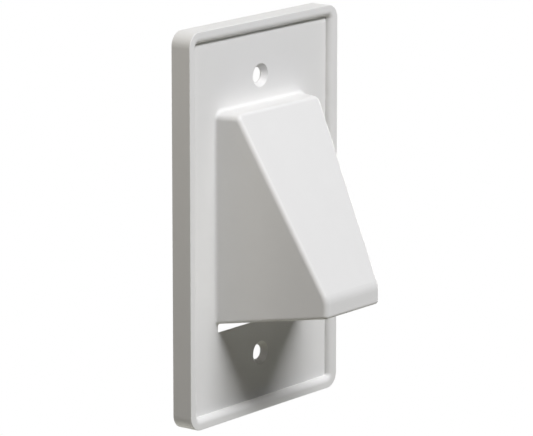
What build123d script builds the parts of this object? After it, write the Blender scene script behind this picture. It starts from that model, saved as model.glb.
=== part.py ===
"""Cable entrance wall plate: one moulded piece with a raised rim and an open-bottomed hood.

Millimetres. +Z is up, -Y faces the room and +Y faces the wall. The origin lies midway between
the two screw holes, on the back of the panel, where the holes come out.
"""
import os
from math import radians, tan

from build123d import *

# Plate: outline, rim, panel and skirt
plate_width = 69.85
plate_height = 117.1
corner_radius = 4.3
panel_thickness = 1.9
rim_width = 3.5
rim_rise = 1.85  # from the panel's front to the rim's crest
rim_outer_round = 0.2
rim_inner_round = 1.8
skirt_depth = 2.9  # from the panel's back to the wall
skirt_wall = 2.4
skirt_root_round = 0.6

# Screw holes, countersunk for No. 6 screws
screw_spacing = 83.34
screw_hole_diameter = 4.4
screw_head_diameter = 7.1
screw_head_angle = 82.0

# Hood: heights are measured from the origin, and depths outward from the panel's front
hood_root_width = 42.25
hood_side_draft = 13.75
hood_top = 33.7
hood_top_slope = 0.6
hood_top_depth = 6.8
hood_reach = 34.1
hood_lip_height = 5.64
hood_bottom = -29.05
hood_bottom_slope = 8.25
hood_wall = 2.0
hood_chin_round = 5.6
hood_shoulder_round = 2.3  # along the two sides of the hood's top
hood_front_round = 1.65  # all the way round the front, from one side of the lip to the other
hood_hem_round = 1.1
hood_root_round = 1.0
hood_inner_round = 0.8

# Opening through the panel, behind the hood and below it
opening_drop = 2.6  # from the hood's bottom edge down to the sill, at the panel's front
opening_sill_slope = 20.0  # the sill falls away to the back, so that cords bend gently over it
opening_shoulder = 0.95  # the hood's side stands this far outside the opening

# Levels along Y
wall_plane = skirt_depth
panel_back = 0.0
panel_front = -panel_thickness
crest_plane = panel_front - rim_rise
lip_plane = panel_front - hood_reach
past_wall = wall_plane + hood_wall
slot_front = panel_front - hood_wall

# Heights of the hood's edges
brow_height = hood_top - hood_top_depth * tan(radians(hood_top_slope))
lip_bottom = hood_bottom + hood_reach * tan(radians(hood_bottom_slope))
lip_top = lip_bottom + hood_lip_height
opening_bottom = hood_bottom - opening_drop

hair = 0.001  # tolerance for picking edges by their place


def across(level):
    """A sketch plane across the plate at a level along Y, facing the room, with Z up."""
    return Plane.XZ.offset(-level)


def edges_at(edges, axis, place):
    """The edges whose middle lies at a place along an axis."""
    return edges.filter_by_position(axis, place - hair, place + hair)


def hood_half_width(level):
    """Half the hood's width outside, at a level along Y."""
    return hood_root_width / 2 + (level - panel_front) * tan(radians(hood_side_draft))


def hood_bottom_height(level):
    """Height of the plane that holds the hood's bottom edges, at a level along Y."""
    return hood_bottom - (level - panel_front) * tan(radians(hood_bottom_slope))


def sill_height(level):
    """Height of the opening's sill, at a level along Y."""
    return opening_bottom - (level - panel_front) * tan(radians(opening_sill_slope))


def side_view(back, front_bottom, back_bottom):
    """The hood's corners seen from the side: back, brow and lip along the top, then the bottom."""
    back_top = hood_top + (back - panel_front) * tan(radians(hood_top_slope))
    return [
        (back, back_top),
        (panel_front - hood_top_depth, brow_height),
        (lip_plane, lip_top),
        (lip_plane, front_bottom),
        (back, back_bottom),
    ]


def plan_view(back):
    """The hood's corners seen from above, with its sides drawn in towards the lip."""
    return [
        (-hood_half_width(back), back),
        (hood_half_width(back), back),
        (hood_half_width(lip_plane), lip_plane),
        (-hood_half_width(lip_plane), lip_plane),
    ]


# The plate: a rounded blank, dished in front inside its rim and hollow behind inside its skirt
with BuildPart() as wall_plate:
    with BuildSketch(across(wall_plane)) as outline:
        RectangleRounded(plate_width, plate_height, corner_radius)
    extrude(amount=wall_plane - crest_plane)
    fillet(edges_at(wall_plate.edges(), Axis.Y, crest_plane), rim_outer_round)

    with BuildSketch(across(crest_plane)) as dish:
        RectangleRounded(plate_width, plate_height, corner_radius)
        offset(amount=-rim_width)
    extrude(amount=-rim_rise, mode=Mode.SUBTRACT)
    crest_face = wall_plate.faces().sort_by(Axis.Y)[0]
    fillet(crest_face.inner_wires()[0].edges(), rim_inner_round)

    with BuildSketch(across(wall_plane)) as recess:
        RectangleRounded(plate_width, plate_height, corner_radius)
        offset(amount=-skirt_wall)
    extrude(amount=skirt_depth, mode=Mode.SUBTRACT)
    fillet(edges_at(wall_plate.edges(), Axis.Y, panel_back), skirt_root_round)

# The hood's outside: its side view cut to its drafted plan, then rounded
with BuildPart() as hood:
    with BuildSketch(Plane.YZ) as hood_side:
        with BuildLine():
            Polyline(*side_view(panel_back, lip_bottom, hood_bottom_height(panel_back)), close=True)
        make_face()
    extrude(amount=plate_width / 2, both=True)
    with BuildSketch(Plane.XY) as hood_plan:
        with BuildLine():
            Polyline(*plan_view(panel_back), close=True)
        make_face()
    extrude(amount=plate_height / 2, both=True, mode=Mode.INTERSECT)

    fillet(edges_at(hood.edges().filter_by(Axis.X), Axis.Z, lip_top), hood_chin_round)
    top_edges = hood.faces().sort_by(Axis.Z)[-1].edges()
    fillet(top_edges - top_edges.filter_by(Axis.X), hood_shoulder_round)
    fillet(edges_at(hood.edges().filter_by(Axis.X), Axis.Z, brow_height), hood_front_round)
    root_edges = hood.faces().sort_by(Axis.Y)[-1].edges()
    bottom_edges = hood.faces().sort_by(Axis.Z)[0].edges()
    fillet(bottom_edges - root_edges, hood_hem_round)

# The hollow inside the hood, one wall inside it, running back through the panel
with BuildPart() as hollow:
    hollow_bottom = opening_bottom - hood_wall
    with BuildSketch(Plane.YZ) as hollow_side:
        with BuildLine():
            Polyline(*side_view(past_wall, hollow_bottom, hollow_bottom), close=True)
        make_face()
        offset(amount=-hood_wall, kind=Kind.INTERSECTION)
    extrude(amount=plate_width / 2, both=True)
    with BuildSketch(Plane.XY) as hollow_plan:
        with BuildLine():
            Polyline(*plan_view(past_wall), close=True)
        make_face()
        offset(amount=-hood_wall, kind=Kind.INTERSECTION)
    extrude(amount=plate_height / 2, both=True, mode=Mode.INTERSECT)
    back_edges = hollow.faces().sort_by(Axis.Y)[-1].edges()
    base_edges = hollow.faces().sort_by(Axis.Z)[0].edges()
    fillet(hollow.edges() - back_edges - base_edges, hood_inner_round)

# The slot below the hood, where the opening widens almost to the hood's sides
with BuildPart() as slot:
    with BuildSketch(Plane.YZ) as slot_side:
        with BuildLine():
            Polyline(
                (wall_plane, sill_height(wall_plane)),
                (wall_plane, hood_bottom_height(wall_plane)),
                (slot_front, hood_bottom_height(slot_front)),
                (slot_front, sill_height(slot_front)),
                close=True,
            )
        make_face()
    extrude(amount=hood_root_width / 2 - opening_shoulder, both=True)

# The finished moulding: the hood blended onto the panel, then the openings and screw holes
with wall_plate:
    add(hood.part)
    fillet(edges_at(wall_plate.edges(Select.NEW), Axis.Y, panel_front), hood_root_round)
    add(hollow.part, mode=Mode.SUBTRACT)
    add(slot.part, mode=Mode.SUBTRACT)
    with Locations(across(panel_front)):
        with GridLocations(0, screw_spacing, 1, 2):
            CounterSinkHole(
                radius=screw_hole_diameter / 2,
                counter_sink_radius=screw_head_diameter / 2,
                counter_sink_angle=screw_head_angle,
            )

wall_plate.part.label = "wall_plate"

os.makedirs("parts", exist_ok=True)
export_step(wall_plate.part, "parts/wall_plate.step")
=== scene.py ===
"""Cable entrance wall plate: the moulded finish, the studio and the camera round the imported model.

Everything is in metres in the plate's own frame. +Z is up, the room is on the -Y side and the
wall on the +Y side. The plate is one moulding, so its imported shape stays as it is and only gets
its finish here. The floor is the only new surface.
"""
from math import atan, cos, pi, radians, sin, tan
from typing import NamedTuple

import bpy
import numpy as np
from bpy.props import FloatProperty, FloatVectorProperty, PointerProperty
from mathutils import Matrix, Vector

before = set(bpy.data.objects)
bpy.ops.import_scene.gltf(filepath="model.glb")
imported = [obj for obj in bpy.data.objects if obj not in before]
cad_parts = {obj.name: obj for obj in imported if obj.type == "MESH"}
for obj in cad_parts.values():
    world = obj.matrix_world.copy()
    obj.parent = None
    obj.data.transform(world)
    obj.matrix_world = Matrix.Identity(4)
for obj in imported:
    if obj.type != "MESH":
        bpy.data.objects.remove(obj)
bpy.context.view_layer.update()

bl_info = {
    "name": "Cable Entrance Wall Plate",
    "version": (1, 0, 0),
    "blender": (4, 5, 0),
    "location": "View3D > Sidebar > Wall Plate",
    "description": "Finishes the moulded wall plate and sets up its studio and camera",
    "category": "Object",
}

PLATE_NODE = "wall_plate"

PICTURE_WIDTH = 533  # pixels
FOCAL_LENGTH = 3862.1  # pixels
SENSOR_WIDTH = 36.0  # millimetres
CLIP_END = 50.0  # metres

CORE_FACING = 0.05, 0.40  # a normal's share along +Y, where the core side's finish is nil and full
PROUD_LEVELS = -0.0037, -0.0025  # metres along Y, where a face is fully proud and where it isn't
PLASTIC_IOR = 1.5

# Noises of the plastic: detail and roughness
GRAIN_NOISE = 3.0, 0.5
SINK_NOISE = 1.0, 0.5
MOTTLE_NOISE = 5.0, 0.6
MOTTLE_SHARE = 0.4  # the mottle's size as a share of the sink waves' size
MOTTLE_RANGE = 0.3, 0.7  # the noise values that are stretched to the mottle's two ends
MOTTLE_SHADE = 0.985  # the darker end of the mottle, as a share of the colour

FLOOR_CORNERS = 96
FADE_RADIUS = 0.6, 2.0  # metres, where the floor begins to fade to white and where it ends
FADE_START = 0.35  # how white the floor is inside the first radius


class Lamp(NamedTuple):
    """A rectangular soft lamp that faces the middle of the plate.

    Its level is the light that it gives a surface facing it squarely at the plate. A colour shows
    as it is written where the levels that reach it come to 1.
    """

    azimuth: float  # degrees round the plate from its front, towards +X
    elevation: float  # degrees
    turn: float  # degrees about the lamp's own axis
    distance: float  # metres
    size: tuple  # width and height in metres
    level: float
    colour: tuple


LAMPS = {
    "key_softbox": Lamp(
        azimuth=0.0,
        elevation=46.5,
        turn=-15.0,
        distance=1.6,
        size=(0.94, 0.21),
        level=1.015,
        colour=(0.970, 0.974, 1.0),
    ),
    "side_fill": Lamp(
        azimuth=-100.0,
        elevation=35.0,
        turn=0.0,
        distance=0.45,
        size=(0.30, 0.30),
        level=0.322,
        colour=(1.0, 0.957, 0.880),
    ),
    "low_fill": Lamp(
        azimuth=0.0,
        elevation=-70.0,
        turn=0.0,
        distance=0.9,
        size=(0.60, 0.60),
        level=0.09,
        colour=(1.0, 0.950, 0.550),
    ),
    "right_fill": Lamp(
        azimuth=110.0,
        elevation=0.0,
        turn=0.0,
        distance=1.2,
        size=(0.50, 0.50),
        level=0.42,
        colour=(1.0, 0.980, 0.920),
    ),
    "low_back_fill": Lamp(
        azimuth=180.0,
        elevation=-50.0,
        turn=0.0,
        distance=1.2,
        size=(0.70, 0.70),
        level=0.22,
        colour=(1.0, 0.980, 0.900),
    ),
}


class PlateFinish(bpy.types.PropertyGroup):
    """The moulded plastic's colour, gloss and fine texture."""

    colour: FloatVectorProperty(
        name="Colour",
        description="Colour of the white plastic",
        subtype="COLOR",
        size=3,
        min=0.0,
        max=1.0,
        default=(0.820, 0.815, 0.800),
    )
    roughness: FloatProperty(
        name="Roughness",
        description="Middle of the roughness, from mirror to matt",
        subtype="FACTOR",
        min=0.0,
        max=1.0,
        default=0.50,
    )
    roughness_range: FloatProperty(
        name="Roughness Range",
        description="How far the roughness wanders either side of its middle",
        subtype="FACTOR",
        min=0.0,
        max=0.5,
        default=0.05,
    )
    grain_size: FloatProperty(
        name="Grain Size",
        description="Size of the fine satin grain",
        subtype="DISTANCE",
        unit="LENGTH",
        min=0.00005,
        default=0.00035,
        precision=5,
    )
    grain_depth: FloatProperty(
        name="Grain Depth",
        description="Height of the fine satin grain",
        subtype="DISTANCE",
        unit="LENGTH",
        min=0.0,
        default=0.000003,
        precision=6,
    )
    sink_size: FloatProperty(
        name="Sink Size",
        description="Length of the shallow waves that moulding leaves in the flat faces",
        subtype="DISTANCE",
        unit="LENGTH",
        min=0.001,
        default=0.022,
        precision=4,
    )
    sink_depth: FloatProperty(
        name="Sink Depth",
        description="Height of the shallow waves that moulding leaves in the flat faces",
        subtype="DISTANCE",
        unit="LENGTH",
        min=0.0,
        default=0.00003,
        precision=6,
    )
    core_roughness: FloatProperty(
        name="Core Side Roughness",
        description="Roughness of the hidden faces that the mould's core leaves, behind the plate",
        subtype="FACTOR",
        min=0.0,
        max=1.0,
        default=0.60,
    )
    core_grain_depth: FloatProperty(
        name="Core Side Grain Depth",
        description="Height of the grain on the hidden faces behind the plate",
        subtype="DISTANCE",
        unit="LENGTH",
        min=0.0,
        default=0.000009,
        precision=6,
    )
    rubbed_gloss: FloatProperty(
        name="Rubbed Gloss",
        description="How much less rough the proud faces are, where hands rub them",
        subtype="FACTOR",
        min=0.0,
        max=0.5,
        default=0.04,
    )


class PlateStudio(bpy.types.PropertyGroup):
    """The floor, the surrounding light and the camera."""

    floor_drop: FloatProperty(
        name="Floor Drop",
        description="Height of the middle of the plate above the floor",
        subtype="DISTANCE",
        unit="LENGTH",
        min=0.06,
        default=2.0,
    )
    floor_radius: FloatProperty(
        name="Floor Radius",
        description="Radius of the round floor",
        subtype="DISTANCE",
        unit="LENGTH",
        min=1.0,
        default=9.0,
    )
    floor_colour: FloatVectorProperty(
        name="Floor Colour",
        description="Colour of the floor",
        subtype="COLOR",
        size=3,
        min=0.0,
        max=1.0,
        default=(0.86, 0.86, 0.86),
    )
    room_light: FloatProperty(
        name="Room Light",
        description="Level of the even light from all round",
        min=0.0,
        default=0.0,
    )
    camera_azimuth: FloatProperty(
        name="Camera Azimuth",
        description="Turn of the camera round the plate from its front, towards +X",
        subtype="ANGLE",
        unit="ROTATION",
        default=radians(-52.08),
    )
    camera_elevation: FloatProperty(
        name="Camera Elevation",
        description="Height angle of the camera above the plate",
        subtype="ANGLE",
        unit="ROTATION",
        default=radians(12.33),
    )
    camera_distance: FloatProperty(
        name="Camera Distance",
        description="Distance of the camera from the point that it looks at",
        subtype="DISTANCE",
        unit="LENGTH",
        min=0.1,
        default=1.1442,
    )
    camera_view: FloatProperty(
        name="Camera View",
        description="Angle that the camera's frame spans from side to side",
        subtype="ANGLE",
        unit="ROTATION",
        default=2 * atan(PICTURE_WIDTH / 2 / FOCAL_LENGTH),
    )
    camera_target: FloatVectorProperty(
        name="Camera Target",
        description="Point at the middle of the camera's frame",
        subtype="TRANSLATION",
        unit="LENGTH",
        size=3,
        default=(0.00904, 0.00290, -0.00315),
    )


def direction(azimuth, elevation):
    """Unit vector towards an azimuth from the plate's front, towards +X, and an elevation.

    d = (sin a cos e, -cos a cos e, sin e), with both angles in radians.
    """
    return Vector(
        (sin(azimuth) * cos(elevation), -cos(azimuth) * cos(elevation), sin(elevation))
    )


def face_point(obj, place, target):
    """Puts a lamp or camera at a place and turns it to look at a target, its top upwards."""
    obj.location = place
    obj.rotation_euler = (target - place).to_track_quat("-Z", "Y").to_euler()


class Nodes:
    """Adds and joins the nodes of one tree."""

    def __init__(self, tree):
        self.tree = tree

    def add(self, kind, inputs=None, **settings):
        """A node with its settings. Its inputs are numbers, colours or other nodes' sockets."""
        node = self.tree.nodes.new(kind)
        for name, value in settings.items():
            setattr(node, name, value)
        for name, value in (inputs or {}).items():
            if isinstance(value, bpy.types.NodeSocket):
                self.tree.links.new(value, node.inputs[name])
            else:
                node.inputs[name].default_value = value
        return node

    def math(self, operation, first, second):
        """The result of a Math node."""
        return self.add("ShaderNodeMath", {0: first, 1: second}, operation=operation).outputs[0]

    def remap(self, value, low, high, to_low, to_high, smooth=False):
        """Value carried from one range to another and held inside it."""
        node = self.add(
            "ShaderNodeMapRange",
            {
                "Value": value,
                "From Min": low,
                "From Max": high,
                "To Min": to_low,
                "To Max": to_high,
            },
            interpolation_type="SMOOTHSTEP" if smooth else "LINEAR",
        )
        return node.outputs["Result"]

    def seen(self):
        """1 for rays from the camera, in gloss and through glass, else 0."""
        rays = self.add("ShaderNodeLightPath").outputs
        seen = self.math("MAXIMUM", rays["Is Camera Ray"], rays["Is Glossy Ray"])
        return self.math("MAXIMUM", seen, rays["Is Transmission Ray"])


def new_group(name, inputs, outputs):
    """An empty shader node group with named sockets, and the nodes at its two ends."""
    tree = bpy.data.node_groups.new(name, "ShaderNodeTree")
    for socket, default in inputs.items():
        made = tree.interface.new_socket(socket, in_out="INPUT", socket_type="NodeSocketFloat")
        made.default_value = default
    for socket in outputs:
        tree.interface.new_socket(socket, in_out="OUTPUT", socket_type="NodeSocketFloat")
    nodes = Nodes(tree)
    return nodes, nodes.add("NodeGroupInput"), nodes.add("NodeGroupOutput")


def moulded_texture():
    """Group on Object coordinates: the height of grain and sink waves, and a mottle.

    Height = grain depth x fine noise + sink depth x broad noise, each noise centred on zero.
    """
    nodes, given, made = new_group(
        "Moulded Texture",
        {"Grain Size": 0.0003, "Grain Depth": 0.000003, "Sink Size": 0.02, "Sink Depth": 0.00003},
        ("Height", "Mottle"),
    )
    place = nodes.add("ShaderNodeTexCoord").outputs["Object"]

    def noise(size, detail, roughness):
        scale = nodes.math("DIVIDE", 1.0, size)
        node = nodes.add(
            "ShaderNodeTexNoise",
            {"Vector": place, "Scale": scale, "Detail": detail, "Roughness": roughness},
        )
        return node.outputs["Fac"]

    grain = nodes.math("SUBTRACT", noise(given.outputs["Grain Size"], *GRAIN_NOISE), 0.5)
    sink = nodes.math("SUBTRACT", noise(given.outputs["Sink Size"], *SINK_NOISE), 0.5)
    grain = nodes.math("MULTIPLY", grain, given.outputs["Grain Depth"])
    sink = nodes.math("MULTIPLY", sink, given.outputs["Sink Depth"])
    height = nodes.math("ADD", grain, sink)
    mottle_size = nodes.math("MULTIPLY", given.outputs["Sink Size"], MOTTLE_SHARE)
    mottle = noise(mottle_size, *MOTTLE_NOISE)
    nodes.tree.links.new(height, made.inputs["Height"])
    nodes.tree.links.new(mottle, made.inputs["Mottle"])
    return nodes.tree


def white_plastic(finish):
    """The satin white plastic, with grain, sink waves and a wandering gloss.

    Core side = how far a face looks into the wall, from its normal: rougher, with a deeper grain.
    Proud = how far a face stands out past the panel, from its place: rubbed a little glossier.
    """
    material = bpy.data.materials.new("moulded_white_plastic")
    material.use_nodes = True
    material.diffuse_color = (*finish.colour, 1.0)
    material.roughness = finish.roughness
    nodes = Nodes(material.node_tree)
    shader = material.node_tree.nodes["Principled BSDF"]
    where = nodes.add("ShaderNodeTexCoord")
    facing = nodes.add("ShaderNodeSeparateXYZ", {"Vector": where.outputs["Normal"]})
    place = nodes.add("ShaderNodeSeparateXYZ", {"Vector": where.outputs["Object"]})
    core = nodes.remap(facing.outputs["Y"], *CORE_FACING, 0.0, 1.0, smooth=True)
    proud = nodes.remap(place.outputs["Y"], *PROUD_LEVELS, 1.0, 0.0, smooth=True)
    depth = nodes.remap(core, 0.0, 1.0, finish.grain_depth, finish.core_grain_depth)

    texture = nodes.add(
        "ShaderNodeGroup",
        {
            "Grain Size": finish.grain_size,
            "Grain Depth": depth,
            "Sink Size": finish.sink_size,
            "Sink Depth": finish.sink_depth,
        },
        node_tree=moulded_texture(),
    )
    mottle = nodes.remap(texture.outputs["Mottle"], *MOTTLE_RANGE, 0.0, 1.0)
    bump = nodes.add("ShaderNodeBump", {"Height": texture.outputs["Height"], "Distance": 1.0})
    middle = nodes.remap(core, 0.0, 1.0, finish.roughness, finish.core_roughness)
    wander = nodes.remap(mottle, 0.0, 1.0, -finish.roughness_range, finish.roughness_range)
    rubbed = nodes.math("MULTIPLY", proud, -finish.rubbed_gloss)
    roughness = nodes.math("ADD", nodes.math("ADD", middle, wander), rubbed)
    tint = nodes.add(
        "ShaderNodeMix",
        {
            "Factor": mottle,
            "A": (*finish.colour, 1.0),
            "B": (*(channel * MOTTLE_SHADE for channel in finish.colour), 1.0),
        },
        data_type="RGBA",
    )
    links = material.node_tree.links
    links.new(tint.outputs["Result"], shader.inputs["Base Color"])
    links.new(roughness, shader.inputs["Roughness"])
    links.new(bump.outputs["Normal"], shader.inputs["Normal"])
    shader.inputs["IOR"].default_value = PLASTIC_IOR
    return material


def floor_material(studio):
    """Matt pale floor that fades to plain white away from the object, so it has no far edge."""
    material = bpy.data.materials.new("pale_floor")
    material.use_nodes = True
    tree = material.node_tree
    tree.nodes.clear()
    nodes = Nodes(tree)
    place = nodes.add("ShaderNodeTexCoord").outputs["Object"]
    flat = nodes.add("ShaderNodeVectorMath", {0: place, 1: (1.0, 1.0, 0.0)}, operation="MULTIPLY")
    reach = nodes.add("ShaderNodeVectorMath", {0: flat.outputs["Vector"]}, operation="LENGTH")
    far = nodes.remap(reach.outputs["Value"], *FADE_RADIUS, FADE_START, 1.0, smooth=True)
    matt = nodes.add("ShaderNodeBsdfDiffuse", {"Color": (*studio.floor_colour, 1.0)})
    white = nodes.add("ShaderNodeEmission", {"Color": (1, 1, 1, 1), "Strength": 1.0})
    mixed = nodes.add(
        "ShaderNodeMixShader",
        {
            0: nodes.math("MULTIPLY", nodes.seen(), far),
            1: matt.outputs["BSDF"],
            2: white.outputs["Emission"],
        },
    )
    nodes.add("ShaderNodeOutputMaterial", {"Surface": mixed.outputs["Shader"]})
    return material


def build_floor(studio):
    """Round flat floor: one face whose corners stand at angles a, at (r cos a, r sin a)."""
    angle = np.linspace(0.0, 2 * pi, FLOOR_CORNERS, endpoint=False)
    corners = np.stack(
        [
            studio.floor_radius * np.cos(angle),
            studio.floor_radius * np.sin(angle),
            np.full_like(angle, -studio.floor_drop),
        ],
        axis=-1,
    )
    mesh = bpy.data.meshes.new("studio_floor")
    mesh.from_pydata(corners.tolist(), [], [range(FLOOR_CORNERS)])
    mesh.update()
    mesh.materials.append(floor_material(studio))
    floor = bpy.data.objects.new("studio_floor", mesh)
    bpy.context.scene.collection.objects.link(floor)


def room_world(studio):
    """Plain white to the camera, in gloss and through glass, and an even light for the rest."""
    world = bpy.data.worlds.new("white_room")
    world.use_nodes = True
    tree = world.node_tree
    tree.nodes.clear()
    nodes = Nodes(tree)
    strength = nodes.remap(nodes.seen(), 0.0, 1.0, studio.room_light, 1.0)
    shader = nodes.add("ShaderNodeBackground", {"Color": (1, 1, 1, 1), "Strength": strength})
    nodes.add("ShaderNodeOutputWorld", {"Surface": shader.outputs["Background"]})
    bpy.context.scene.world = world


def soft_lamp(name, lamp):
    """Builds a lamp, with a power of level x pi^2 x distance^2 watts.

    At the plate it gives a surface that faces it squarely about pi x level W/m2.
    """
    light = bpy.data.lights.new(name, "AREA")
    light.shape = "RECTANGLE"
    light.size, light.size_y = lamp.size
    light.energy = lamp.level * pi * pi * lamp.distance * lamp.distance
    light.color = lamp.colour
    obj = bpy.data.objects.new(name, light)
    bpy.context.scene.collection.objects.link(obj)
    away = direction(radians(lamp.azimuth), radians(lamp.elevation))
    face_point(obj, away * lamp.distance, Vector())
    obj.rotation_euler.rotate_axis("Z", radians(lamp.turn))


class WALLPLATE_OT_finish(bpy.types.Operator):
    """Give the moulded plate its satin white plastic"""

    bl_idname = "wall_plate.finish"
    bl_label = "Finish Plate"
    bl_options = {"REGISTER", "UNDO"}

    def execute(self, context):
        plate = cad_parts[PLATE_NODE]
        material = white_plastic(context.scene.plate_finish)
        for material_slot in plate.material_slots:
            material_slot.material = material
        return {"FINISHED"}


class WALLPLATE_OT_stage(bpy.types.Operator):
    """Set the floor, the white room, the soft lamps and the camera"""

    bl_idname = "wall_plate.stage"
    bl_label = "Set Stage"
    bl_options = {"REGISTER", "UNDO"}

    def execute(self, context):
        studio = context.scene.plate_studio
        scene = context.scene
        scene.view_settings.view_transform = "Standard"
        build_floor(studio)
        room_world(studio)
        for name, lamp in LAMPS.items():
            soft_lamp(name, lamp)
        lens = bpy.data.cameras.new("camera")
        lens.sensor_width = SENSOR_WIDTH
        lens.lens = SENSOR_WIDTH / 2 / tan(studio.camera_view / 2)
        lens.clip_end = CLIP_END
        camera = bpy.data.objects.new("camera", lens)
        scene.collection.objects.link(camera)
        target = Vector(studio.camera_target)
        away = direction(studio.camera_azimuth, studio.camera_elevation)
        face_point(camera, target + away * studio.camera_distance, target)
        scene.camera = camera
        return {"FINISHED"}


class WALLPLATE_PT_panel(bpy.types.Panel):
    """Finish, studio and camera of the wall plate"""

    bl_idname = "WALLPLATE_PT_panel"
    bl_label = "Wall Plate"
    bl_space_type = "VIEW_3D"
    bl_region_type = "UI"
    bl_category = "Wall Plate"

    def draw(self, context):
        layout = self.layout
        for group, operator in (
            (context.scene.plate_finish, WALLPLATE_OT_finish),
            (context.scene.plate_studio, WALLPLATE_OT_stage),
        ):
            column = layout.column()
            for name in group.__annotations__:
                column.prop(group, name)
            column.operator(operator.bl_idname)


CLASSES = (
    PlateFinish,
    PlateStudio,
    WALLPLATE_OT_finish,
    WALLPLATE_OT_stage,
    WALLPLATE_PT_panel,
)


def register():
    """Adds the classes and the scene's settings."""
    for cls in CLASSES:
        bpy.utils.register_class(cls)
    bpy.types.Scene.plate_finish = PointerProperty(type=PlateFinish)
    bpy.types.Scene.plate_studio = PointerProperty(type=PlateStudio)


def unregister():
    """Takes the scene's settings and the classes away again."""
    del bpy.types.Scene.plate_studio
    del bpy.types.Scene.plate_finish
    for cls in reversed(CLASSES):
        bpy.utils.unregister_class(cls)


def main():
    """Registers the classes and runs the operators."""
    register()
    bpy.ops.wall_plate.finish()
    bpy.ops.wall_plate.stage()


if __name__ == "__main__":
    main()
